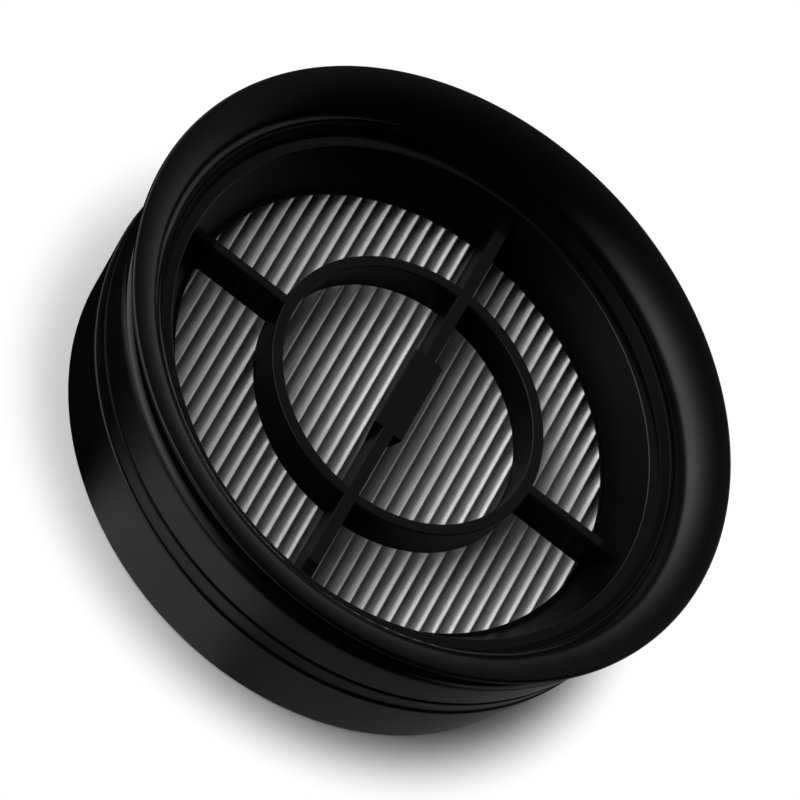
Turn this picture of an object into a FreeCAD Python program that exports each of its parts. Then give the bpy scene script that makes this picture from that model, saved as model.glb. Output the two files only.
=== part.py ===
import FreeCAD, Part
import math
import os

# Round pleated filter cassette of a stick vacuum, in millimetres. The axis is Z, the origin is the
# middle of the rear face and the flared lip faces up. The grille's bar and the pleats run along Y.

# Heights, stacked from the rear face
rear_band_height = 11.95
gasket_height = 3.1
mid_band_height = 8.55
lip_flare_height = 4.4

# Front frame: the stepped mouth, from the round window over the pleats outwards
media_opening_radius = 32.2
ledge_width = 0.6
ledge_thickness = 0.3
funnel_depth = 6.2
funnel_flare = 3.2
funnel_wall = 1.5
mouth_round = 0.3
land_width = 1.5
land_drop = 1.7
land_wall = 1.5
step_run = 0.8
step_round = 0.4

# Front frame: the front face and the outer band
front_face_width = 5.45
mid_band_shoulder_round = 1.6
mid_band_taper = 1.7
skirt_wall = 1.83

# Front frame: the grille
rib_height = 5.2
rib_round = 0.25
ring_inner_radius = 18.8
ring_wall = 1.7
bar_width = 1.85
spoke_width = 1.55
grip_length = 14.2
grip_width = 4.7

# Flared lip
lip_setback = 0.65
lip_root_width = 1.4
lip_flare = 6.05
lip_rim_thickness = 0.9
lip_front_bulge = 1.3
lip_back_bulge = 1.0
lip_tongue_width = 0.8
lip_tongue_depth = 1.6
lip_tongue_clearance = 0.05

# Joint gasket
gasket_proud = 0.15
gasket_taper = 0.7
gasket_round = 0.15

# Rear shell
rear_band_inset = 0.05
rear_band_taper = 2.3
rear_band_front_round = 0.3
rear_band_back_round = 0.7
rear_band_wall = 1.7
back_lip_width = 7.1
back_lip_thickness = 1.6
back_lip_round = 0.4
tongue_wall = 1.5
tongue_clearance = 0.12
tongue_tip_gap = 0.3
tongue_tip_round = 0.4

# Pleated sheet and the seal round its edge
edge_seal_width = 2.2
pleat_pitch = 1.977
sheet_thickness = 0.25

# Levels that follow from the heights
shoulder_z = rear_band_height
joint_z = shoulder_z + gasket_height
face_z = joint_z + mid_band_height
rim_z = face_z + lip_flare_height
land_z = face_z - land_drop
ledge_z = land_z - funnel_depth
media_front_z = ledge_z - ledge_thickness
media_back_z = back_lip_thickness
rib_top_z = media_front_z + rib_height
flange_back_z = land_z - land_wall
tongue_tip_z = flange_back_z - tongue_tip_gap

# Radii that follow from the widths, each from its neighbour's
funnel_back_radius = media_opening_radius + ledge_width
mouth_radius = funnel_back_radius + funnel_flare
step_radius = mouth_radius + land_width + step_run
mid_band_front_radius = step_radius + front_face_width
mid_band_back_radius = mid_band_front_radius - mid_band_taper
skirt_bore_radius = mid_band_back_radius - skirt_wall
tongue_outer_radius = skirt_bore_radius - tongue_clearance
tongue_inner_radius = tongue_outer_radius - tongue_wall
pack_radius = tongue_inner_radius - edge_seal_width
gasket_front_radius = mid_band_back_radius + gasket_proud
gasket_back_radius = gasket_front_radius - gasket_taper
rear_band_front_radius = mid_band_back_radius - rear_band_inset
rear_band_back_radius = rear_band_front_radius - rear_band_taper
shell_cavity_back_radius = rear_band_back_radius - rear_band_wall
back_opening_radius = rear_band_back_radius - back_lip_width
lip_root_radius = step_radius + lip_setback
lip_rim_radius = lip_root_radius + lip_flare
ring_outer_radius = ring_inner_radius + ring_wall


def point(r, z):
    return FreeCAD.Vector(r, 0, z)


def corner(before, here, after, radius):
    """The tangent points and the middle of the arc that rounds one corner of an outline."""
    back = (before - here).normalize()
    ahead = (after - here).normalize()
    half = back.getAngle(ahead) / 2
    bisector = (back + ahead).normalize()
    reach = radius / math.tan(half)
    middle = here + bisector * (radius / math.sin(half) - radius)
    return here + back * reach, middle, here + ahead * reach


def outline(corners):
    """A closed wire through corners (r, z) or (r, z, rounding radius)."""
    places = [point(c[0], c[1]) for c in corners]
    edges = []
    first = None
    last = None
    for i, c in enumerate(corners):
        if len(c) == 3:
            after = places[(i + 1) % len(places)]
            start, middle, end = corner(places[i - 1], places[i], after, c[2])
            if last is not None:
                edges.append(Part.LineSegment(last, start).toShape())
            edges.append(Part.Arc(start, middle, end).toShape())
        else:
            start = end = places[i]
            if last is not None:
                edges.append(Part.LineSegment(last, start).toShape())
        if first is None:
            first = start
        last = end
    edges.append(Part.LineSegment(last, first).toShape())
    return Part.Wire(edges)


def revolved(wire):
    return Part.Face(wire).revolve(FreeCAD.Vector(), FreeCAD.Vector(0, 0, 1), 360)


def bulged(start, end, rise):
    """An arc from start to end that stands off its chord by rise, to the left of the way it runs."""
    chord = end - start
    side = FreeCAD.Vector(-chord.z, 0, chord.x).normalize()
    return Part.Arc(start, (start + end) * 0.5 + side * rise, end).toShape()


def radius_between(r0, z0, r1, z1, z):
    return r0 + (r1 - r0) * (z - z0) / (z1 - z0)


def shell_cavity_radius(z):
    """The cavity of the rear shell widens towards the front, so that it leaves its mould."""
    return radius_between(shell_cavity_back_radius, media_back_z, tongue_inner_radius, tongue_tip_z, z)


def funnel_radius(z):
    return radius_between(funnel_back_radius, ledge_z, mouth_radius, land_z, z)


def make_seal_lip():
    """Bell-mouthed ring with a thin rim, and a tongue under its root that sits in the frame's groove."""
    rim_round = lip_rim_thickness / 2
    root_outer_radius = lip_root_radius + lip_root_width
    tongue_middle = lip_root_radius + lip_root_width / 2
    tongue_in = tongue_middle - lip_tongue_width / 2
    tongue_out = tongue_middle + lip_tongue_width / 2
    tongue_z = face_z - lip_tongue_depth
    rim_front = point(lip_rim_radius - rim_round, rim_z)
    rim_edge = point(lip_rim_radius, rim_z - rim_round)
    rim_back = point(lip_rim_radius - rim_round, rim_z - lip_rim_thickness)
    root = [
        point(root_outer_radius, face_z),
        point(tongue_out, face_z),
        point(tongue_out, tongue_z),
        point(tongue_in, tongue_z),
        point(tongue_in, face_z),
        point(lip_root_radius, face_z),
    ]
    edges = [
        bulged(root[-1], rim_front, lip_front_bulge),
        Part.Arc(rim_front, rim_edge, rim_back).toShape(),
        bulged(rim_back, root[0], -lip_back_bulge),
    ]
    edges += [Part.LineSegment(a, b).toShape() for a, b in zip(root, root[1:])]
    return revolved(Part.Wire(edges))


def make_mouth():
    """Outer band, front face with the lip's groove, step, cone and the ledge that the pleats lie under."""
    tongue_middle = lip_root_radius + lip_root_width / 2
    groove_half = lip_tongue_width / 2 + lip_tongue_clearance
    groove_z = face_z - lip_tongue_depth - lip_tongue_clearance
    funnel_slope = (mouth_radius - funnel_back_radius) / funnel_depth
    funnel_foot = funnel_radius(media_front_z) + funnel_wall
    funnel_top = funnel_foot + funnel_slope * (flange_back_z - media_front_z)
    return revolved(outline([
        (media_opening_radius, media_front_z),
        (media_opening_radius, ledge_z),
        (funnel_back_radius, ledge_z),
        (mouth_radius, land_z, mouth_round),
        (mouth_radius + land_width, land_z),
        (step_radius, face_z, step_round),
        (tongue_middle - groove_half, face_z),
        (tongue_middle - groove_half, groove_z),
        (tongue_middle + groove_half, groove_z),
        (tongue_middle + groove_half, face_z),
        (mid_band_front_radius, face_z, mid_band_shoulder_round),
        (mid_band_back_radius, joint_z),
        (skirt_bore_radius, joint_z),
        (skirt_bore_radius, flange_back_z),
        (funnel_top, flange_back_z),
        (funnel_foot, media_front_z),
    ]))


def rib(width, length):
    """Straight rib along Y about the middle, with its top edges rounded."""
    half = width / 2
    section = outline([
        (-half, media_front_z),
        (half, media_front_z),
        (half, rib_top_z, rib_round),
        (-half, rib_top_z, rib_round),
    ])
    section.translate(FreeCAD.Vector(0, -length / 2, 0))
    return Part.Face(section).extrude(FreeCAD.Vector(0, length, 0))


def make_grip():
    """Finger grip: the bar swells to a wedge, widest at its top."""
    foot = bar_width / 2
    top = grip_width / 2
    section = outline([
        (-foot, media_front_z),
        (foot, media_front_z),
        (top, rib_top_z, rib_round),
        (-top, rib_top_z, rib_round),
    ])
    section.translate(FreeCAD.Vector(0, -grip_length / 2, 0))
    return Part.Face(section).extrude(FreeCAD.Vector(0, grip_length, 0))


def make_front_frame():
    """Front moulding in one piece: the mouth with its grille."""
    ring = revolved(outline([
        (ring_inner_radius, media_front_z),
        (ring_outer_radius, media_front_z),
        (ring_outer_radius, rib_top_z, rib_round),
        (ring_inner_radius, rib_top_z, rib_round),
    ]))
    reach = 2 * (mouth_radius + land_width)
    spokes = rib(spoke_width, reach)
    spokes.rotate(FreeCAD.Vector(), FreeCAD.Vector(0, 0, 1), 90)
    middle = (ring_inner_radius + ring_outer_radius) / 2
    spokes = spokes.cut(Part.makeCylinder(middle, rim_z))
    ribs = rib(bar_width, reach).fuse([spokes, ring, make_grip()])
    bore = revolved(outline([
        (0, media_front_z),
        (funnel_radius(media_front_z) + funnel_wall / 2, media_front_z),
        (funnel_radius(rib_top_z) + funnel_wall / 2, rib_top_z),
        (0, rib_top_z),
    ]))
    return make_mouth().fuse(ribs.common(bore)).removeSplitter()


def make_joint_gasket():
    """Flat ring with a tapered edge, clamped between the front frame and the rear shell."""
    return revolved(outline([
        (skirt_bore_radius, shoulder_z),
        (gasket_back_radius, shoulder_z, gasket_round),
        (gasket_front_radius, joint_z, gasket_round),
        (skirt_bore_radius, joint_z),
    ]))


def make_rear_shell():
    """Tapered rear band with a lip that holds the pleats and a tongue that enters the front frame."""
    return revolved(outline([
        (back_opening_radius, 0, back_lip_round),
        (rear_band_back_radius, 0, rear_band_back_round),
        (rear_band_front_radius, shoulder_z, rear_band_front_round),
        (tongue_outer_radius, shoulder_z),
        (tongue_outer_radius, tongue_tip_z, tongue_tip_round),
        (tongue_inner_radius, tongue_tip_z),
        (shell_cavity_back_radius, media_back_z),
        (back_opening_radius, media_back_z, back_lip_round),
    ]))


def make_edge_seal():
    """Sealing compound cast between the round edge of the pleats and the shell."""
    return revolved(outline([
        (pack_radius, media_back_z),
        (shell_cavity_radius(media_back_z), media_back_z),
        (shell_cavity_radius(media_front_z), media_front_z),
        (pack_radius, media_front_z),
    ]))


def fold_centre(k):
    """Inside of the k-th fold: even folds are crests at the front, odd ones are at the back."""
    x = k * pleat_pitch / 2
    if k % 2 == 0:
        return point(x, media_front_z - sheet_thickness)
    return point(x, media_back_z + sheet_thickness)


def pleat_side(folds, outer_parity, up):
    """One face of the folded sheet: round over the folds that point its way, sharp inside the others."""
    edges = []
    last = None
    for k in folds:
        start = end = centre = fold_centre(k)
        if k % 2 == outer_parity:
            start = centre - point(sheet_thickness, 0)
            end = centre + point(sheet_thickness, 0)
        if last is not None:
            edges.append(Part.LineSegment(last, start).toShape())
        if start != end:
            edges.append(Part.Arc(start, centre + point(0, up * sheet_thickness), end).toShape())
        last = end
    return edges


def make_pleated_media():
    """One sheet folded into straight pleats along Y and cut round."""
    reach = 2 * math.ceil(pack_radius / pleat_pitch) + 2
    folds = range(-reach, reach + 1)
    front = pleat_side(folds, 0, 1)
    back = pleat_side(folds, 1, -1)
    ends = [
        Part.LineSegment(front[0].Vertexes[0].Point, back[0].Vertexes[0].Point).toShape(),
        Part.LineSegment(front[-1].Vertexes[-1].Point, back[-1].Vertexes[-1].Point).toShape(),
    ]
    wire = Part.Wire(Part.__sortEdges__(front + back + ends))
    wire.translate(FreeCAD.Vector(0, -pack_radius, 0))
    block = Part.Face(wire).extrude(FreeCAD.Vector(0, 2 * pack_radius, 0))
    return block.common(Part.makeCylinder(pack_radius, rim_z))


def main():
    os.makedirs("parts", exist_ok=True)
    pieces = {
        "seal_lip": make_seal_lip(),
        "front_frame": make_front_frame(),
        "joint_gasket": make_joint_gasket(),
        "rear_shell": make_rear_shell(),
        "edge_seal": make_edge_seal(),
        "pleated_media": make_pleated_media(),
    }
    for name, shape in pieces.items():
        solids = len(shape.Solids)
        print(f"{name}: {solids} solid, {shape.Volume / 1000:.2f} cm3, valid {shape.isValid()}")
        shape.exportStep(f"parts/{name}.step")


main()
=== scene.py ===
import math
from collections import namedtuple

import bmesh
import bpy
from bpy.props import FloatProperty, FloatVectorProperty, IntProperty, PointerProperty
from mathutils import Matrix, Vector


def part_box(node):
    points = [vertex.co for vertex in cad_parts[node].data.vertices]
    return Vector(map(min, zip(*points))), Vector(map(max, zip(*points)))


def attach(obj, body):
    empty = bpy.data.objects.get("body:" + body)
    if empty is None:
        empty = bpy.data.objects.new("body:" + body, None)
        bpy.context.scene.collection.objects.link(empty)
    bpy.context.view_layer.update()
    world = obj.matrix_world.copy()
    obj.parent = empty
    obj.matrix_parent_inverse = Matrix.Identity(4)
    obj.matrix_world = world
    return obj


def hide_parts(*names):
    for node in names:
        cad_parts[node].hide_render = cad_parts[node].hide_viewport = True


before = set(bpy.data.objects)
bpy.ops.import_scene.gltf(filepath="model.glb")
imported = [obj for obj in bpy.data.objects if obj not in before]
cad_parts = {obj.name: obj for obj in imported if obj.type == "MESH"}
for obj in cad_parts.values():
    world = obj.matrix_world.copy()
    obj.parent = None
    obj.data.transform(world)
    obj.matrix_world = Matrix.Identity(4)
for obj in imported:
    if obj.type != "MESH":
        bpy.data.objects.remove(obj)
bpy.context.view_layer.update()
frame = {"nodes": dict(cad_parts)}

bl_info = {
    "name": "Round pleated filter cassette",
    "version": (1, 0, 0),
    "blender": (4, 5, 0),
    "location": "View3D > Sidebar > Filter",
    "description": "Builds the lip, frame, gasket, shell and pleats of a vacuum filter, and its studio",
    "category": "Add Mesh",
}

MM = 0.001
BODY = "root"

# Soft walls of light: azimuth and elevation in degrees, narrowness, radiance
LOBES = (
    (182.0, -5.0, 1.6, 2.7),
    (170.0, 14.0, 12.0, 2.9),
    (214.0, 14.0, 10.0, 3.4),
    (58.0, 8.0, 5.0, 0.8),
    (80.0, 55.0, 2.0, 0.2),
)
ROOM_LIGHT = 0.02

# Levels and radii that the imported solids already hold
LIP_LOW, LIP_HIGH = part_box("seal_lip")
FRAME_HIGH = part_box("front_frame")[1]
GASKET_LOW, GASKET_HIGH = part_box("joint_gasket")
SHELL_LOW, SHELL_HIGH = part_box("rear_shell")
MEDIA_LOW, MEDIA_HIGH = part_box("pleated_media")
RIM_Z = LIP_HIGH.z
FACE_Z = FRAME_HIGH.z
JOINT_Z = GASKET_HIGH.z
SHOULDER_Z = GASKET_LOW.z
TONGUE_Z = SHELL_HIGH.z
MEDIA_FRONT_Z = MEDIA_HIGH.z
MEDIA_BACK_Z = MEDIA_LOW.z
RIM_RADIUS = LIP_HIGH.x
PACK_RADIUS = MEDIA_HIGH.x

# Small roundings of the mouldings, and how far the ribs end inside the cone's top edge
LEDGE_ROUND = 0.08 * MM
CONE_FOOT_ROUND = 0.1 * MM
CONE_TOP_ROUND = 0.3 * MM
LAND_ROUND = 0.15 * MM
FACE_ROUND = 0.4 * MM
JOINT_ROUND = 0.5 * MM
TONGUE_ROUND = 0.4 * MM
RIB_INSET = 0.2 * MM

# Radii and heights at which polished faces give way to matte ones
GRILLE_REACH = 32.4 * MM
RIB_SIDE_TOP = 20.35 * MM
CONE_REACH = 35.9 * MM
CONE_TOP = 21.8 * MM
RISER_INNER = 37.4 * MM
RISER_OUTER = 38.7 * MM
RISER_FOOT = 21.9 * MM
BAND_INNER = 40.5 * MM
BAND_TOP = 22.4 * MM
SHELL_EDGE = 11.7 * MM
# Centre and reach of the circle behind the lip's bell-mouthed front
BELL_RADIUS = 44.37 * MM
BELL_HEIGHT = 22.45 * MM
BELL_REACH = 5.3 * MM

# Roughness of the black mouldings: how it swings with the flow patches and the skin, and matte faces
PATCH_SWING = 0.03
SKIN_SWING = 0.02
MEAN_SWING = 0.02
MATTE_ROUGHNESS = 0.31
MATTE_SWING = 0.1
GRILLE_DULLNESS = 0.26
RIB_SIDE_SHARE = 0.88

# Pleats: share of a fold that is round, wander of the folds across and along, and its fade to the rim
ROUND_SHARE = 0.45
WANDER_ACROSS = 60.0
WANDER_ALONG = 25.0
RIM_FADE = 6.0

# Floor: half its width, where its paper turns to plain white, and fades of the painted light and painted
# shadow that the plastic mirrors of it
FLOOR_HALF = 3.0
PAPER_FADE = (40.0 * MM, 50.0 * MM)
FAR_FADE = (56.0 * MM, 63.0 * MM)
# Spans of a painted shadow on the floor as the plastic mirrors it
PAINTED_SHADOW_ALONG = (0.0, 20.0 * MM)
PAINTED_SHADOW_ACROSS = (-33.5 * MM, -27.5 * MM)
# Sectors of painted light and painted shade on the mirrored floor, in degrees: azimuth, and the angles
# from it at which they fade and end
PAINTED_POOL_SIDE = (249.0, 8.0, 26.0)
PAINTED_DIM_SIDE = (330.0, 10.0, 45.0)
FAR_PAINTED_GLOW_SIDE = (220.0, 25.0, 42.0)
FAR_PAINTED_PALE_SIDE = (350.0, 15.0, 40.0)
# Their painted levels, where one is white; above one the mirrored floor glows brighter than white
NEAR_PAINTED_LEVEL = 0.56
PAINTED_POOL_RISE = 1.25
PAINTED_DIM_SHARE = 0.42
FAR_PAINTED_GLOW_LEVEL = 2.0
FAR_PAINTED_PALE_LEVEL = 0.8

# Distance from the axis and height of the point that a material is asked about
Spot = namedtuple("Spot", "radius height")


def length(name, description, default_mm):
    """A size in metres, given here in millimetres."""
    return FloatProperty(
        name=name,
        description=description,
        default=default_mm * MM,
        unit="LENGTH",
        precision=5,
    )


def colour(name, description, default):
    """A colour, as linear red, green and blue."""
    return FloatVectorProperty(
        name=name,
        description=description,
        default=default,
        size=3,
        subtype="COLOR",
    )


def angle(name, description, degrees):
    """An angle in radians, given here in degrees."""
    default = math.radians(degrees)
    return FloatProperty(name=name, description=description, default=default, subtype="ANGLE")


class LipSizes(bpy.types.PropertyGroup):
    root_radius: length("Root radius", "Inside of the lip where it stands on the frame", 38.95)
    root_width: length("Root width", "Thickness of the lip at its root", 1.4)
    rim_thickness: length("Rim thickness", "Thickness of the lip at its rounded rim", 0.9)
    front_bulge: length("Front bulge", "How far the bell-mouthed front stands off its chord", 1.3)
    back_bulge: length("Back bulge", "How far the hollow back stands off its chord", 1.0)
    tongue_width: length("Tongue width", "Width of the tongue that holds the lip in the frame", 0.8)


class FrameSizes(bpy.types.PropertyGroup):
    window_radius: length("Window radius", "Round window over the pleats", 32.2)
    ledge_width: length("Ledge width", "Flat ring at the foot of the cone", 0.6)
    ledge_thickness: length("Ledge thickness", "Height of the flat ring above the pleats", 0.3)
    mouth_radius: length("Mouth radius", "Top edge of the cone", 36.0)
    land_drop: length("Land drop", "Depth of the step below the front face", 1.7)
    land_width: length("Land width", "Flat ring round the top of the cone", 1.5)
    step_run: length("Step run", "Width of the slope between the land and the front face", 0.8)
    shoulder_radius: length("Shoulder radius", "Widest radius of the outer band", 43.75)
    shoulder_round: length("Shoulder rounding", "Rounding of the outer band's front edge", 1.6)
    joint_radius: length("Joint radius", "Radius of the outer band at its rear edge", 42.05)
    skirt_bore: length("Skirt bore", "Inside radius of the outer band", 40.22)
    cone_wall: length("Cone wall", "Wall of the cone, and of the land behind it", 1.5)
    groove_gap: length("Groove gap", "Clearance round the lip's tongue", 0.05)


class GrilleSizes(bpy.types.PropertyGroup):
    rib_height: length("Rib height", "Height of the ribs above the pleats", 5.2)
    rib_round: length("Rib rounding", "Rounding of the ribs' top edges", 0.25)
    ring_inner: length("Ring inner radius", "Inside of the grille's ring", 18.8)
    ring_wall: length("Ring wall", "Thickness of the grille's ring", 1.7)
    bar_width: length("Bar width", "Width of the bar across the mouth", 1.85)
    spoke_width: length("Spoke width", "Width of the two short spokes", 1.55)
    grip_length: length("Grip length", "Length of the finger grip", 14.2)
    grip_width: length("Grip width", "Width of the finger grip at its top", 4.7)


class GasketSizes(bpy.types.PropertyGroup):
    front_radius: length("Front radius", "Outside of the gasket beside the frame", 42.2)
    back_radius: length("Back radius", "Outside of the gasket beside the shell", 41.7)
    front_round: length("Front rounding", "Rounding of the gasket's edge beside the frame", 0.35)
    back_round: length("Back rounding", "Rounding of the gasket's edge beside the shell", 0.12)


class ShellSizes(bpy.types.PropertyGroup):
    front_radius: length("Front radius", "Outside of the shell at its front edge", 42.0)
    back_radius: length("Back radius", "Outside of the shell at its rear edge", 39.7)
    front_round: length("Front rounding", "Rounding of the shell's front edge", 0.3)
    back_round: length("Back rounding", "Rounding of the shell's rear edge", 0.7)
    opening_radius: length("Opening radius", "Round opening at the back", 32.6)
    lip_round: length("Lip rounding", "Rounding of the back opening's edge", 0.4)
    cavity_back: length("Cavity radius", "Inside of the shell at its back", 38.0)
    tongue_outer: length("Tongue outside", "Outside of the tongue that enters the frame", 40.1)
    tongue_wall: length("Tongue wall", "Thickness of that tongue", 1.5)


class PleatSizes(bpy.types.PropertyGroup):
    pitch: length("Pitch", "Distance from crest to crest", 1.977)
    sheet: length("Sheet", "Thickness of the folded sheet", 0.25)
    fold: length("Fold", "Outside radius of the creased folds", 0.15)
    waver: length("Waver", "How far the folds wander from straight lines", 0.05)
    steps: IntProperty(name="Steps", description="Faces from one fold to the next", default=8, min=4)
    rows: IntProperty(name="Rows", description="Points along each pleat", default=32, min=2)
    seed: IntProperty(name="Seed", description="Choice of the wavering folds", default=4)


class Finishes(bpy.types.PropertyGroup):
    frame_black: colour("Frame black", "Moulded plastic of the frame and shell", (0.001, 0.001, 0.001))
    lip_black: colour("Lip black", "Rubber of the lip and gasket", (0.001, 0.001, 0.001))
    sheet_white: colour("Sheet white", "Fibre sheet of the pleats", (0.88, 0.88, 0.88))
    seal_cream: colour("Seal cream", "Sealing compound round the pleats", (0.7, 0.67, 0.58))
    floor_white: colour("Floor white", "Studio floor", (0.9, 0.9, 0.9))


class StageSettings(bpy.types.PropertyGroup):
    azimuth: angle("Azimuth", "Direction of the camera about the upright axis", -103.72)
    elevation: angle("Elevation", "Height of the camera above the floor, as an angle", 48.0)
    roll: angle("Roll", "Lean of the picture about the camera's own axis", 48.09)
    distance: length("Distance", "Camera to the point that it aims at", 1171.5)
    aim_x: length("Aim X", "Point in the middle of the picture", 0.7)
    aim_y: length("Aim Y", "Point in the middle of the picture", 4.02)
    aim_z: length("Aim Z", "Point in the middle of the picture", 14.0)
    lens: FloatProperty(
        name="Lens",
        description="Focal length in millimetres on a 36 mm sensor",
        default=400.6,
    )


class FilterSettings(bpy.types.PropertyGroup):
    lip: PointerProperty(type=LipSizes)
    frame: PointerProperty(type=FrameSizes)
    grille: PointerProperty(type=GrilleSizes)
    gasket: PointerProperty(type=GasketSizes)
    shell: PointerProperty(type=ShellSizes)
    pleats: PointerProperty(type=PleatSizes)
    finishes: PointerProperty(type=Finishes)
    stage: PointerProperty(type=StageSettings)


class Value:
    """An output socket. Arithmetic on it adds Math nodes to its tree."""

    def __init__(self, tree, socket):
        self.tree = tree
        self.socket = socket

    def maths(self, operation, *others):
        """A Math node with this value first."""
        inputs = dict(enumerate((self, *others)))
        return self.tree.add("ShaderNodeMath", {"operation": operation}, inputs)

    def flipped(self, operation, other):
        """A Math node with this value second."""
        return self.tree.add("ShaderNodeMath", {"operation": operation}, {0: other, 1: self})

    def __add__(self, other):
        return self.maths("ADD", other)

    def __sub__(self, other):
        return self.maths("SUBTRACT", other)

    def __mul__(self, other):
        return self.maths("MULTIPLY", other)

    def __truediv__(self, other):
        return self.maths("DIVIDE", other)

    def __pow__(self, other):
        return self.maths("POWER", other)

    def __lt__(self, other):
        return self.maths("LESS_THAN", other)

    def __gt__(self, other):
        return self.maths("GREATER_THAN", other)

    def __rsub__(self, other):
        return self.flipped("SUBTRACT", other)

    def __rtruediv__(self, other):
        return self.flipped("DIVIDE", other)

    def __rpow__(self, other):
        return self.flipped("POWER", other)

    __radd__ = __add__
    __rmul__ = __mul__


class Tree:
    """A node tree that is written one call per node."""

    def __init__(self, node_tree):
        self.nodes = node_tree.nodes
        self.links = node_tree.links

    def add(self, kind, settings=None, inputs=None, output=0):
        """Adds a node, sets it, fills its sockets and gives one of its outputs."""
        node = self.nodes.new(kind)
        for name, setting in (settings or {}).items():
            setattr(node, name, setting)
        self.fill(node, inputs or {})
        return Value(self, node.outputs[output]) if len(node.outputs) else node

    def fill(self, node, inputs):
        """Fills a node's sockets, by name or number, with links or plain values."""
        for key, given in inputs.items():
            if isinstance(given, Value):
                self.links.new(given.socket, node.inputs[key])
            else:
                node.inputs[key].default_value = given

    def vector(self, operation, *given):
        """Vector maths, with a number for its result where the operation gives one."""
        output = "Value" if operation in ("LENGTH", "DOT_PRODUCT") else "Vector"
        inputs = dict(enumerate(given))
        return self.add("ShaderNodeVectorMath", {"operation": operation}, inputs, output)

    def coordinate(self, vector, axis):
        """One coordinate of a vector."""
        return self.add("ShaderNodeSeparateXYZ", {}, {0: vector}, axis)

    def mix(self, factor, a, b):
        """Mixes two colours."""
        inputs = {0: factor, 6: a, 7: b}
        return self.add("ShaderNodeMix", {"data_type": "RGBA"}, inputs, output=2)

    def noise(self, where, scale, detail, roughness=0.5):
        """Cloudy values from nothing to one."""
        inputs = {"Vector": where, "Scale": scale, "Detail": detail, "Roughness": roughness}
        return self.add("ShaderNodeTexNoise", {}, inputs)

    def smooth(self, value, start, end):
        """Rises smoothly from nothing to one between two values."""
        inputs = {"Value": value, "From Min": start, "From Max": end}
        return self.add("ShaderNodeMapRange", {"interpolation_type": "SMOOTHSTEP"}, inputs)


def direction(azimuth, elevation=0.0):
    """Points towards an azimuth and an elevation, both in radians."""
    flat = math.cos(elevation)
    return Vector((
        flat * math.cos(azimuth),
        flat * math.sin(azimuth),
        math.sin(elevation),
    ))


def corner_arc(before, here, after, radius, step):
    """Points of the arc that rounds a corner, and one close by on the straight edge at each end."""
    back = (before - here).normalized()
    ahead = (after - here).normalized()
    half = back.angle(ahead) / 2
    reach = radius / math.tan(half)
    centre = here + (back + ahead).normalized() * (radius / math.sin(half))
    start = here + back * reach - centre
    end = here + ahead * reach - centre
    turn = start.angle_signed(end)
    count = max(3, round(abs(turn) / step))
    points = [centre + Matrix.Rotation(-turn * i / count, 2) @ start for i in range(count + 1)]
    room = min((before - here).length, (after - here).length) - reach
    guard = min(0.25 * radius, 0.4 * room)
    if guard > 0:
        points.insert(0, here + back * (reach + guard))
        points.append(here + ahead * (reach + guard))
    return points


def rounded_outline(corners, step=math.radians(11)):
    """A closed outline through corners (r, z) or (r, z, rounding radius)."""
    places = [Vector(c[:2]) for c in corners]
    points = []
    for i, c in enumerate(corners):
        if len(c) == 2:
            points.append(places[i])
        else:
            after = places[(i + 1) % len(places)]
            points += corner_arc(places[i - 1], places[i], after, c[2], step)
    return points


def bulged(start, end, rise, count):
    """Points of an arc from start to end that stands off its chord by rise, to the left of its way."""
    chord = end - start
    side = Vector((-chord.y, chord.x)).normalized()
    radius = (chord.length_squared / 4 + rise * rise) / (2 * rise)
    centre = (start + end) / 2 + side * (rise - radius)
    first = start - centre
    turn = first.angle_signed(end - centre)
    return [centre + Matrix.Rotation(-turn * i / count, 2) @ first for i in range(count + 1)]


def mesh_of(name, points, faces):
    """A finished mesh from points and faces."""
    mesh = bpy.data.meshes.new(name)
    mesh.from_pydata(points, [], faces)
    return finished(mesh)


def finished(mesh, sharp=math.radians(32)):
    """Merges a mesh's doubles, turns its faces outwards and smooths it, but for its sharp edges."""
    work = bmesh.new()
    work.from_mesh(mesh)
    bmesh.ops.remove_doubles(work, verts=work.verts, dist=1e-7)
    bmesh.ops.recalc_face_normals(work, faces=work.faces)
    work.to_mesh(mesh)
    work.free()
    mesh.shade_smooth()
    mesh.set_sharp_from_angle(angle=sharp)
    return mesh


def turned(name, outline, segments=300):
    """A closed outline (r, z) turned about the upright axis."""
    count = len(outline)
    points = []
    for i in range(segments):
        a = 2 * math.pi * i / segments
        points += [(p.x * math.cos(a), p.x * math.sin(a), p.y) for p in outline]
    faces = []
    for i in range(segments):
        here = i * count
        there = (i + 1) % segments * count
        for j in range(count):
            k = (j + 1) % count
            faces.append((here + j, there + j, there + k, here + k))
    return mesh_of(name, points, faces)


def prism(name, outline, low, high):
    """A closed outline (x, z) drawn out along Y."""
    count = len(outline)
    points = [(p.x, y, p.y) for y in (low, high) for p in outline]
    faces = [(j, (j + 1) % count, count + (j + 1) % count, count + j) for j in range(count)]
    faces += [tuple(range(count)), tuple(range(2 * count - 1, count - 1, -1))]
    return mesh_of(name, points, faces)


def placed(name, mesh):
    """A piece at the origin, in the scene."""
    piece = bpy.data.objects.new(name, mesh)
    bpy.context.scene.collection.objects.link(piece)
    return piece


def plain_mesh(piece):
    """Turns a piece's modifiers into a plain mesh."""
    evaluated = piece.evaluated_get(bpy.context.evaluated_depsgraph_get())
    mesh = bpy.data.meshes.new_from_object(evaluated)
    piece.modifiers.clear()
    piece.data = mesh
    return mesh


def fused(name, meshes):
    """One moulding from several overlapping closed meshes."""
    piece = placed(name, meshes[0])
    extras = [placed(f"{name}_{i}", mesh) for i, mesh in enumerate(meshes[1:])]
    for extra in extras:
        union = piece.modifiers.new(extra.name, "BOOLEAN")
        union.operation = "UNION"
        union.solver = "MANIFOLD"
        union.object = extra
    finished(plain_mesh(piece))
    for extra in extras:
        bpy.data.objects.remove(extra)
    return piece


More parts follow.
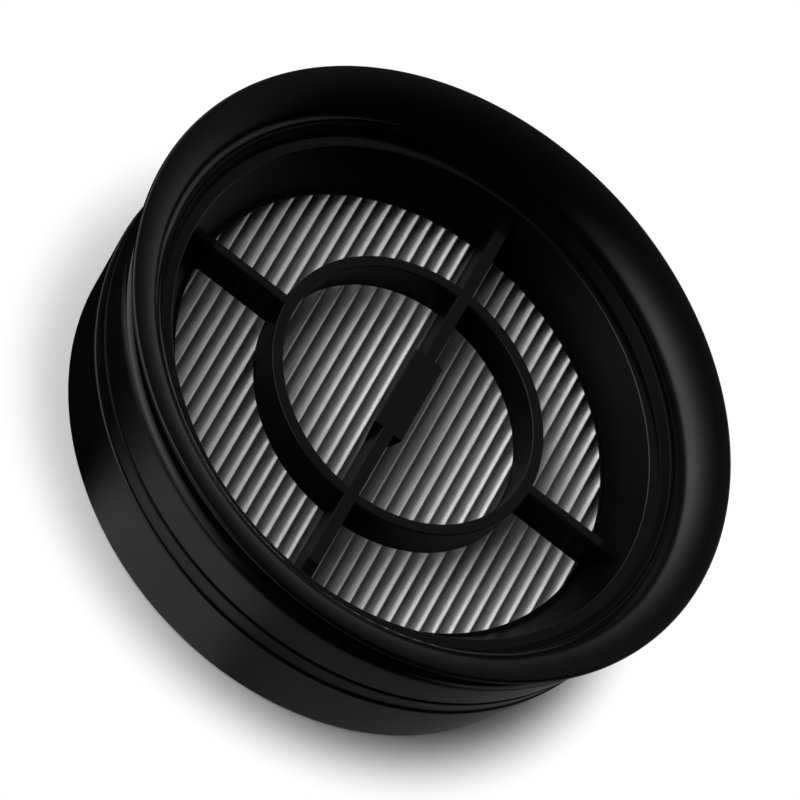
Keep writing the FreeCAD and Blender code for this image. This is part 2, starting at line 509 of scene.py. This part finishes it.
def dressed(piece, material, node):
    """Gives a piece its material, hangs it on the body and hides the solid that it stands for."""
    piece.data.materials.clear()
    piece.data.materials.append(material)
    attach(piece, BODY)
    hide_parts(node)


def new_material(name):
    """A material with its tree, its principled shader and its Object coordinates."""
    material = bpy.data.materials.new(name)
    material.use_nodes = True
    tree = Tree(material.node_tree)
    shader = tree.nodes["Principled BSDF"]
    where = tree.add("ShaderNodeTexCoord", output="Object")
    return material, tree, shader, where


def mix_shaders(tree, factor, shader, other):
    """Ends a material in its principled shader, and in another where the factor is one."""
    parts = {0: factor, 1: Value(tree, shader.outputs["BSDF"]), 2: other}
    mixed = tree.add("ShaderNodeMixShader", {}, parts)
    tree.fill(tree.nodes["Material Output"], {"Surface": mixed})


def toned(shade, share):
    """A share of a colour, as a socket takes it."""
    return (*[min(1.0, share * c) for c in shade], 1.0)


def moulded_black(name, shade, roughness, shine, duller=None, matte=None, matte_shine=None):
    """Black plastic with a fine skin and faint flow patches, duller and matte where the masks say."""
    material, tree, shader, where = new_material(name)
    patches = tree.noise(where, scale=160.0, detail=3.0)
    skin = tree.noise(where, scale=3200.0, detail=2.0)
    base = tree.mix(patches, toned(shade, 1.0), toned(shade, 1.4))
    flat = tree.vector("MULTIPLY", where, (1.0, 1.0, 0.0))
    spot = Spot(tree.vector("LENGTH", flat), tree.coordinate(where, "Z"))
    gloss = roughness - MEAN_SWING + PATCH_SWING * patches + SKIN_SWING * skin
    if duller:
        gloss = gloss + duller(spot)
    bump = tree.add("ShaderNodeBump", {}, {"Strength": 0.05, "Distance": 0.02 * MM, "Height": skin})
    tree.fill(shader, {"Base Color": base, "Roughness": gloss, "Normal": bump})
    tree.fill(shader, {"Specular IOR Level": shine})
    if matte:
        surface = {
            "Base Color": base,
            "Roughness": MATTE_ROUGHNESS + MATTE_SWING * patches,
            "Normal": bump,
            "Specular IOR Level": matte_shine,
        }
        dull = tree.add("ShaderNodeBsdfPrincipled", {}, surface)
        mix_shaders(tree, matte(spot), shader, dull)
    return material


def grille(spot):
    """The grille is less polished than the mouth round it."""
    return (spot.radius < GRILLE_REACH) * GRILLE_DULLNESS


def recess_and_band(spot):
    """The frame is matte on the ribs' sides, the cone, the step's riser and the outer band."""
    radius, height = spot
    sides = (radius < GRILLE_REACH) * (height < RIB_SIDE_TOP)
    cone = (radius > GRILLE_REACH) * (radius < CONE_REACH) * (height < CONE_TOP)
    riser = (radius > RISER_INNER) * (radius < RISER_OUTER) * (height > RISER_FOOT)
    band = (radius > BAND_INNER) * (height < BAND_TOP)
    return sides * RIB_SIDE_SHARE + cone + riser + band


def lip_back(spot):
    """The lip is matte behind, inside the circle that its bell-mouthed front follows."""
    across = spot.radius - BELL_RADIUS
    along = spot.height - BELL_HEIGHT
    return (across * across + along * along).maths("SQRT") < BELL_REACH


def shell_side(spot):
    """The shell is matte all over, but for its front edge."""
    return spot.height < SHELL_EDGE


def fibre_white(shade):
    """Matte non-woven sheet: soft fibres, cloudy in thickness."""
    material, tree, shader, where = new_material("fibre_white")
    clouds = tree.noise(where, scale=500.0, detail=4.0)
    fibres = tree.noise(where, scale=4500.0, detail=3.0, roughness=0.7)
    base = tree.mix(0.2 * clouds + 0.8 * fibres, toned(shade, 0.7), toned(shade, 1.3))
    bump = tree.add("ShaderNodeBump", {}, {"Strength": 0.6, "Distance": 0.04 * MM, "Height": fibres})
    tree.fill(shader, {"Base Color": base, "Normal": bump})
    tree.fill(shader, {"Roughness": 0.9, "Specular IOR Level": 0.2})
    return material


def sealing_cream(shade):
    """Milky sealing compound with slow ripples."""
    material, tree, shader, where = new_material("sealing_cream")
    ripples = tree.noise(where, scale=250.0, detail=3.0)
    base = tree.mix(ripples, toned(shade, 0.85), toned(shade, 1.0))
    bump = tree.add("ShaderNodeBump", {}, {"Strength": 0.3, "Distance": 0.2 * MM, "Height": ripples})
    tree.fill(shader, {"Base Color": base, "Normal": bump, "Roughness": 0.45})
    return material


class FILTER_OT_seal_lip(bpy.types.Operator):
    """Turns the flared lip with its rounded rim and the tongue under its root"""

    bl_idname = "filter_cassette.seal_lip"
    bl_label = "Flared lip"

    def execute(self, context):
        s = context.scene.filter_cassette
        lip = s.lip
        rim = lip.rim_thickness / 2
        root = Vector((lip.root_radius, FACE_Z))
        root_out = Vector((lip.root_radius + lip.root_width, FACE_Z))
        front = Vector((RIM_RADIUS - rim, RIM_Z))
        back = Vector((RIM_RADIUS - rim, RIM_Z - lip.rim_thickness))
        middle = lip.root_radius + lip.root_width / 2
        tongue = [
            Vector((middle + lip.tongue_width / 2, FACE_Z)),
            Vector((middle + lip.tongue_width / 2, LIP_LOW.z)),
            Vector((middle - lip.tongue_width / 2, LIP_LOW.z)),
            Vector((middle - lip.tongue_width / 2, FACE_Z)),
        ]
        outline = bulged(root, front, lip.front_bulge, count=36)
        outline += bulged(front, back, rim, count=14)[1:-1]
        outline += bulged(back, root_out, -lip.back_bulge, count=30)
        piece = placed("flared_lip", turned("flared_lip", outline + tongue))
        black = moulded_black(
            "lip_rubber",
            s.finishes.lip_black,
            roughness=0.2,
            shine=0.12,
            matte=lip_back,
            matte_shine=0.02,
        )
        dressed(piece, black, "seal_lip")
        return {"FINISHED"}


def mouth_outline(f, lip):
    """Outer band, front face with the lip's groove, step, cone and ledge."""
    land_z = FACE_Z - f.land_drop
    ledge_z = MEDIA_FRONT_Z + f.ledge_thickness
    cone_foot = f.window_radius + f.ledge_width
    slope = (f.mouth_radius - cone_foot) / (land_z - ledge_z)
    flange_z = land_z - f.cone_wall
    wall_foot = cone_foot - slope * f.ledge_thickness + f.cone_wall
    wall_top = wall_foot + slope * (flange_z - MEDIA_FRONT_Z)
    middle = lip.root_radius + lip.root_width / 2
    groove = lip.tongue_width / 2 + f.groove_gap
    groove_z = LIP_LOW.z - f.groove_gap
    return rounded_outline([
        (f.window_radius, MEDIA_FRONT_Z),
        (f.window_radius, ledge_z, LEDGE_ROUND),
        (cone_foot, ledge_z, CONE_FOOT_ROUND),
        (f.mouth_radius, land_z, CONE_TOP_ROUND),
        (f.mouth_radius + f.land_width, land_z, LAND_ROUND),
        (f.mouth_radius + f.land_width + f.step_run, FACE_Z, FACE_ROUND),
        (middle - groove, FACE_Z),
        (middle - groove, groove_z),
        (middle + groove, groove_z),
        (middle + groove, FACE_Z),
        (f.shoulder_radius, FACE_Z, f.shoulder_round),
        (f.joint_radius, JOINT_Z, JOINT_ROUND),
        (f.skirt_bore, JOINT_Z),
        (f.skirt_bore, flange_z),
        (wall_top, flange_z),
        (wall_foot, MEDIA_FRONT_Z),
    ])


def rib_outline(foot, top, g):
    """Section of a rib, from its foot on the pleats to its rounded top."""
    high = MEDIA_FRONT_Z + g.rib_height
    return rounded_outline([
        (-foot / 2, MEDIA_FRONT_Z),
        (foot / 2, MEDIA_FRONT_Z),
        (top / 2, high, g.rib_round),
        (-top / 2, high, g.rib_round),
    ])


class FILTER_OT_front_frame(bpy.types.Operator):
    """Moulds the stepped mouth and the grille with its finger grip in one piece"""

    bl_idname = "filter_cassette.front_frame"
    bl_label = "Front frame"

    def execute(self, context):
        s = context.scene.filter_cassette
        f = s.frame
        g = s.grille
        high = MEDIA_FRONT_Z + g.rib_height
        ring_outer = g.ring_inner + g.ring_wall
        reach = f.mouth_radius - RIB_INSET
        half_grip = g.grip_length / 2
        spoke_start = g.ring_inner + g.ring_wall / 2
        ring = rounded_outline([
            (g.ring_inner, MEDIA_FRONT_Z),
            (ring_outer, MEDIA_FRONT_Z),
            (ring_outer, high, g.rib_round),
            (g.ring_inner, high, g.rib_round),
        ])
        bar = prism("bar", rib_outline(g.bar_width, g.bar_width, g), -reach, reach)
        grip = prism("grip", rib_outline(g.bar_width, g.grip_width, g), -half_grip, half_grip)
        spokes = []
        for turn in (90, -90):
            spoke = prism("spoke", rib_outline(g.spoke_width, g.spoke_width, g), spoke_start, reach)
            spoke.transform(Matrix.Rotation(math.radians(turn), 4, "Z"))
            spokes.append(spoke)
        mouth = turned("mouth", mouth_outline(f, s.lip))
        piece = fused("mouth_and_grille", [mouth, turned("ring", ring), bar, grip, *spokes])
        black = moulded_black(
            "frame_plastic",
            s.finishes.frame_black,
            roughness=0.11,
            shine=0.13,
            duller=grille,
            matte=recess_and_band,
            matte_shine=0.031,
        )
        dressed(piece, black, "front_frame")
        return {"FINISHED"}


class FILTER_OT_joint_gasket(bpy.types.Operator):
    """Turns the narrow gasket that is clamped in the joint"""

    bl_idname = "filter_cassette.joint_gasket"
    bl_label = "Joint gasket"

    def execute(self, context):
        s = context.scene.filter_cassette
        outline = rounded_outline([
            (s.frame.skirt_bore, SHOULDER_Z),
            (s.gasket.back_radius, SHOULDER_Z, s.gasket.back_round),
            (s.gasket.front_radius, JOINT_Z, s.gasket.front_round),
            (s.frame.skirt_bore, JOINT_Z),
        ])
        piece = placed("clamped_gasket", turned("clamped_gasket", outline))
        black = moulded_black("gasket_rubber", s.finishes.lip_black, roughness=0.32, shine=0.03)
        dressed(piece, black, "joint_gasket")
        return {"FINISHED"}


class FILTER_OT_rear_shell(bpy.types.Operator):
    """Turns the tapered shell with its retaining lip and its tongue"""

    bl_idname = "filter_cassette.rear_shell"
    bl_label = "Rear shell"

    def execute(self, context):
        s = context.scene.filter_cassette
        shell = s.shell
        outline = rounded_outline([
            (shell.opening_radius, SHELL_LOW.z, shell.lip_round),
            (shell.back_radius, SHELL_LOW.z, shell.back_round),
            (shell.front_radius, SHOULDER_Z, shell.front_round),
            (shell.tongue_outer, SHOULDER_Z),
            (shell.tongue_outer, TONGUE_Z, TONGUE_ROUND),
            (shell.tongue_outer - shell.tongue_wall, TONGUE_Z),
            (shell.cavity_back, MEDIA_BACK_Z),
            (shell.opening_radius, MEDIA_BACK_Z, shell.lip_round),
        ])
        piece = placed("tapered_shell", turned("tapered_shell", outline))
        black = moulded_black(
            "shell_plastic",
            s.finishes.frame_black,
            roughness=0.15,
            shine=0.12,
            matte=shell_side,
            matte_shine=0.033,
        )
        dressed(piece, black, "rear_shell")
        return {"FINISHED"}


def pleat_tree():
    """Geometry nodes that fold a flat block into pleats along Y and trim it round."""
    group = bpy.data.node_groups.new("pleats", "GeometryNodeTree")
    kinds = {
        "Radius": "NodeSocketFloat",
        "Pitch": "NodeSocketFloat",
        "Sheet": "NodeSocketFloat",
        "Fold": "NodeSocketFloat",
        "Front": "NodeSocketFloat",
        "Back": "NodeSocketFloat",
        "Waver": "NodeSocketFloat",
        "Seed": "NodeSocketFloat",
        "Folds": "NodeSocketInt",
        "Steps": "NodeSocketInt",
        "Rows": "NodeSocketInt",
        "Material": "NodeSocketMaterial",
    }
    names = {}
    for name, kind in kinds.items():
        socket = group.interface.new_socket(name=name, in_out="INPUT", socket_type=kind)
        names[name] = socket.identifier
    group.interface.new_socket(name="Geometry", in_out="OUTPUT", socket_type="NodeSocketGeometry")
    tree = Tree(group)
    inputs = {name: tree.add("NodeGroupInput", output=name) for name in kinds}
    pitch = inputs["Pitch"]
    fold = inputs["Fold"]
    folds = inputs["Folds"]
    block = {
        "Size": (1.0, 1.0, 1.0),
        "Vertices X": folds * inputs["Steps"] + 1,
        "Vertices Y": inputs["Rows"],
        "Vertices Z": 2,
    }
    cube = tree.add("GeometryNodeMeshCube", {}, block)
    place = tree.add("GeometryNodeInputPosition")
    along, across, level = (tree.coordinate(place, axis) for axis in "XYZ")
    is_front = level > 0.0
    count = along * folds
    shift = 1.0 - is_front
    crest = 2.0 * ((count - shift) / 2.0).maths("ROUND") + shift
    offset = count - crest
    share = offset.maths("ABSOLUTE")
    swing = (share / ROUND_SHARE).maths("MINIMUM", 1.0) * (math.pi / 2)
    flank = ((share - ROUND_SHARE) / (1.0 - ROUND_SHARE)).maths("MAXIMUM", 0.0)
    depth = inputs["Front"] - inputs["Back"] - inputs["Sheet"] - fold
    out = fold * swing.maths("SINE") + flank * (pitch / 2.0 - fold)
    drop = fold * (1.0 - swing.maths("COSINE")) + flank * depth
    side = offset.maths("SIGN")
    x = crest * pitch / 2.0 + side * out
    front_z = inputs["Front"] - drop
    back_z = inputs["Back"] + drop
    z = is_front * front_z + shift * back_z
    chord = (inputs["Radius"] * inputs["Radius"] - x * x).maths("MAXIMUM", 0.0).maths("SQRT")
    y = 2.0 * across * chord
    wander = {0: x * WANDER_ACROSS, 1: y * WANDER_ALONG, 2: inputs["Seed"]}
    sway = tree.noise(tree.add("ShaderNodeCombineXYZ", {}, wander), scale=1.0, detail=1.0)
    rim_fade = 1.0 - (across * 2.0).maths("ABSOLUTE") ** RIM_FADE
    x = x + (sway - 0.5) * inputs["Waver"] * rim_fade
    z = z - is_front * sway * inputs["Waver"] * rim_fade
    spread = tree.add("ShaderNodeCombineXYZ", {}, {0: x, 1: y, 2: z})
    folded = tree.add("GeometryNodeSetPosition", {}, {"Geometry": cube, "Position": spread})
    whole = tree.add("GeometryNodeRealizeInstances", {}, {"Geometry": folded})
    paint = {"Geometry": whole, "Material": inputs["Material"]}
    painted = tree.add("GeometryNodeSetMaterial", {}, paint)
    tree.add("NodeGroupOutput", {}, {"Geometry": painted})
    return group, names


class FILTER_OT_pleated_media(bpy.types.Operator):
    """Folds the white sheet into deep pleats and trims them round"""

    bl_idname = "filter_cassette.pleated_media"
    bl_label = "Pleated sheet"

    def execute(self, context):
        s = context.scene.filter_cassette
        pleats = s.pleats
        white = fibre_white(s.finishes.sheet_white)
        group, names = pleat_tree()
        piece = placed("folded_sheet", bpy.data.meshes.new("folded_sheet"))
        fold = piece.modifiers.new("pleats", "NODES")
        fold.node_group = group
        half_folds = int(PACK_RADIUS / (pleats.pitch / 2) / 2) * 2
        settings = {
            "Radius": PACK_RADIUS,
            "Pitch": pleats.pitch,
            "Sheet": pleats.sheet,
            "Fold": pleats.fold,
            "Front": MEDIA_FRONT_Z,
            "Back": MEDIA_BACK_Z,
            "Waver": pleats.waver,
            "Seed": float(pleats.seed),
            "Folds": 2 * half_folds,
            "Steps": pleats.steps,
            "Rows": pleats.rows,
            "Material": white,
        }
        for name, setting in settings.items():
            fold[names[name]] = setting
        mesh = plain_mesh(piece)
        if not mesh.polygons:
            raise RuntimeError("the pleats have no faces")
        finished(mesh, sharp=math.radians(60))
        dressed(piece, white, "pleated_media")
        return {"FINISHED"}


class FILTER_OT_edge_seal(bpy.types.Operator):
    """Paints the ring of sealing compound round the pleats"""

    bl_idname = "filter_cassette.edge_seal"
    bl_label = "Edge seal"

    def execute(self, context):
        s = context.scene.filter_cassette
        ring = frame["nodes"]["edge_seal"]
        ring.data.materials.clear()
        ring.data.materials.append(sealing_cream(s.finishes.seal_cream))
        return {"FINISHED"}


class FILTER_OT_stage(bpy.types.Operator):
    """Sets the floor, the walls of light in the world, and the camera"""

    bl_idname = "filter_cassette.stage"
    bl_label = "Studio"

    def execute(self, context):
        s = context.scene.filter_cassette
        scene = context.scene
        scene.view_settings.view_transform = "Standard"
        self.add_floor(s.finishes.floor_white)
        self.add_lights(scene)
        self.add_camera(scene, s.stage)
        return {"FINISHED"}

    def add_floor(self, shade):
        """A wide square of paper under the part."""
        signs = ((-1, -1), (1, -1), (1, 1), (-1, 1))
        corners = [(x * FLOOR_HALF, y * FLOOR_HALF, 0.0) for x, y in signs]
        floor = placed("floor", mesh_of("floor", corners, [(0, 1, 2, 3)]))
        floor.data.materials.append(self.floor_material(shade))

    def floor_material(self, shade):
        """White paper that keeps the shadow round the part and is plain white farther away; to the
        plastic's reflections it glows with painted light and painted shade.
        """
        material, tree, shader, where = new_material("floor_white")
        paper = {"Base Color": toned(shade, 1.0), "Roughness": 0.9, "Specular IOR Level": 0.0}
        tree.fill(shader, paper)
        seen = tree.add("ShaderNodeLightPath", output="Is Camera Ray")
        mirrored = tree.add("ShaderNodeLightPath", output="Is Glossy Ray")
        through = tree.add("ShaderNodeLightPath", output="Is Transmission Ray")
        # To glossy rays the floor is an emitter of painted light and painted shade, not the paper's own
        # shading
        level = self.painted_mirror_light(tree, where)
        grey = tree.add("ShaderNodeCombineColor", {}, {0: level, 1: level, 2: level})
        # The emission is plain white to the camera and carries the painted level to glossy rays
        tone = tree.mix(mirrored, (1.0, 1.0, 1.0, 1.0), grey)
        white = tree.add("ShaderNodeEmission", {}, {"Color": tone, "Strength": 1.0})
        outside = tree.smooth(tree.vector("LENGTH", where), *PAPER_FADE)
        shown = mirrored.maths("MAXIMUM", outside * seen.maths("MAXIMUM", through))
        mix_shaders(tree, shown, shader, white)
        return material

    def painted_mirror_light(self, tree, where):
        """Painted light and painted shade that the black plastic mirrors of the floor: a painted shadow,
        painted bright and dim sides near by, and painted glow farther away.
        """
        towards = tree.vector("NORMALIZE", where)
        # A painted shadow on the floor as the plastic mirrors it
        along = tree.smooth(tree.coordinate(where, "X"), *PAINTED_SHADOW_ALONG)
        painted_shadow = tree.smooth(tree.coordinate(where, "Y"), *PAINTED_SHADOW_ACROSS) * (1.0 - along)
        # A painted pool of light on the bright side, and painted shade on the dim side
        near = (1.0 - painted_shadow) * (NEAR_PAINTED_LEVEL + PAINTED_POOL_RISE * self.sector(tree, towards, *PAINTED_POOL_SIDE))
        near = near * (1.0 - PAINTED_DIM_SHARE * self.sector(tree, towards, *PAINTED_DIM_SIDE))
        # Painted glow and paler painted light farther away
        far = FAR_PAINTED_GLOW_LEVEL * self.sector(tree, towards, *FAR_PAINTED_GLOW_SIDE)
        far = far + FAR_PAINTED_PALE_LEVEL * self.sector(tree, towards, *FAR_PAINTED_PALE_SIDE)
        return near + tree.smooth(tree.vector("LENGTH", where), *FAR_FADE) * (far - near)

    def sector(self, tree, towards, azimuth, inside, outside):
        """One within some degrees of an azimuth round the part, falling to nothing farther round."""
        facing = tree.vector("DOT_PRODUCT", towards, direction(math.radians(azimuth)))
        return tree.smooth(facing, math.cos(math.radians(outside)), math.cos(math.radians(inside)))

    def add_lights(self, scene):
        """A dim room with soft walls of light."""
        world = bpy.data.worlds.new("studio")
        world.use_nodes = True
        tree = Tree(world.node_tree)
        where = tree.add("ShaderNodeTexCoord", output="Generated")
        level = ROOM_LIGHT
        for azimuth, elevation, power, strength in LOBES:
            aim = direction(math.radians(azimuth), math.radians(elevation))
            facing = tree.vector("DOT_PRODUCT", where, aim)
            level = facing.maths("MAXIMUM", 0.0) ** power * strength + level
        tree.fill(tree.nodes["Background"], {"Color": (1.0, 1.0, 1.0, 1.0), "Strength": level})
        scene.world = world

    def add_camera(self, scene, stage):
        """A long lens at the photograph's angle."""
        towards = direction(stage.azimuth, stage.elevation)
        aim = Vector((stage.aim_x, stage.aim_y, stage.aim_z))
        lens = bpy.data.cameras.new("camera")
        lens.lens = stage.lens
        lens.sensor_width = 36.0
        lens.clip_end = 20.0
        camera = bpy.data.objects.new("camera", lens)
        turn = towards.to_track_quat("Z", "Y").to_matrix().to_4x4()
        place = Matrix.Translation(aim + towards * stage.distance)
        camera.matrix_world = place @ turn @ Matrix.Rotation(stage.roll, 4, "Z")
        scene.collection.objects.link(camera)
        scene.camera = camera


class FILTER_PT_panel(bpy.types.Panel):
    """Lists the pieces of the cassette"""

    bl_idname = "FILTER_PT_panel"
    bl_label = "Filter cassette"
    bl_space_type = "VIEW_3D"
    bl_region_type = "UI"
    bl_category = "Filter"

    def draw(self, context):
        for piece in PIECES:
            self.layout.operator(piece.bl_idname)


PIECES = (
    FILTER_OT_seal_lip,
    FILTER_OT_front_frame,
    FILTER_OT_joint_gasket,
    FILTER_OT_rear_shell,
    FILTER_OT_pleated_media,
    FILTER_OT_edge_seal,
    FILTER_OT_stage,
)
SETTINGS = (
    LipSizes,
    FrameSizes,
    GrilleSizes,
    GasketSizes,
    ShellSizes,
    PleatSizes,
    Finishes,
    StageSettings,
    FilterSettings,
)
CLASSES = (*SETTINGS, *PIECES, FILTER_PT_panel)


def register():
    for kind in CLASSES:
        bpy.utils.register_class(kind)
    bpy.types.Scene.filter_cassette = PointerProperty(type=FilterSettings)


def unregister():
    del bpy.types.Scene.filter_cassette
    for kind in reversed(CLASSES):
        bpy.utils.unregister_class(kind)


def main():
    register()
    for piece in PIECES:
        group, name = piece.bl_idname.split(".")
        getattr(getattr(bpy.ops, group), name)()


if __name__ == "__main__":
    main()
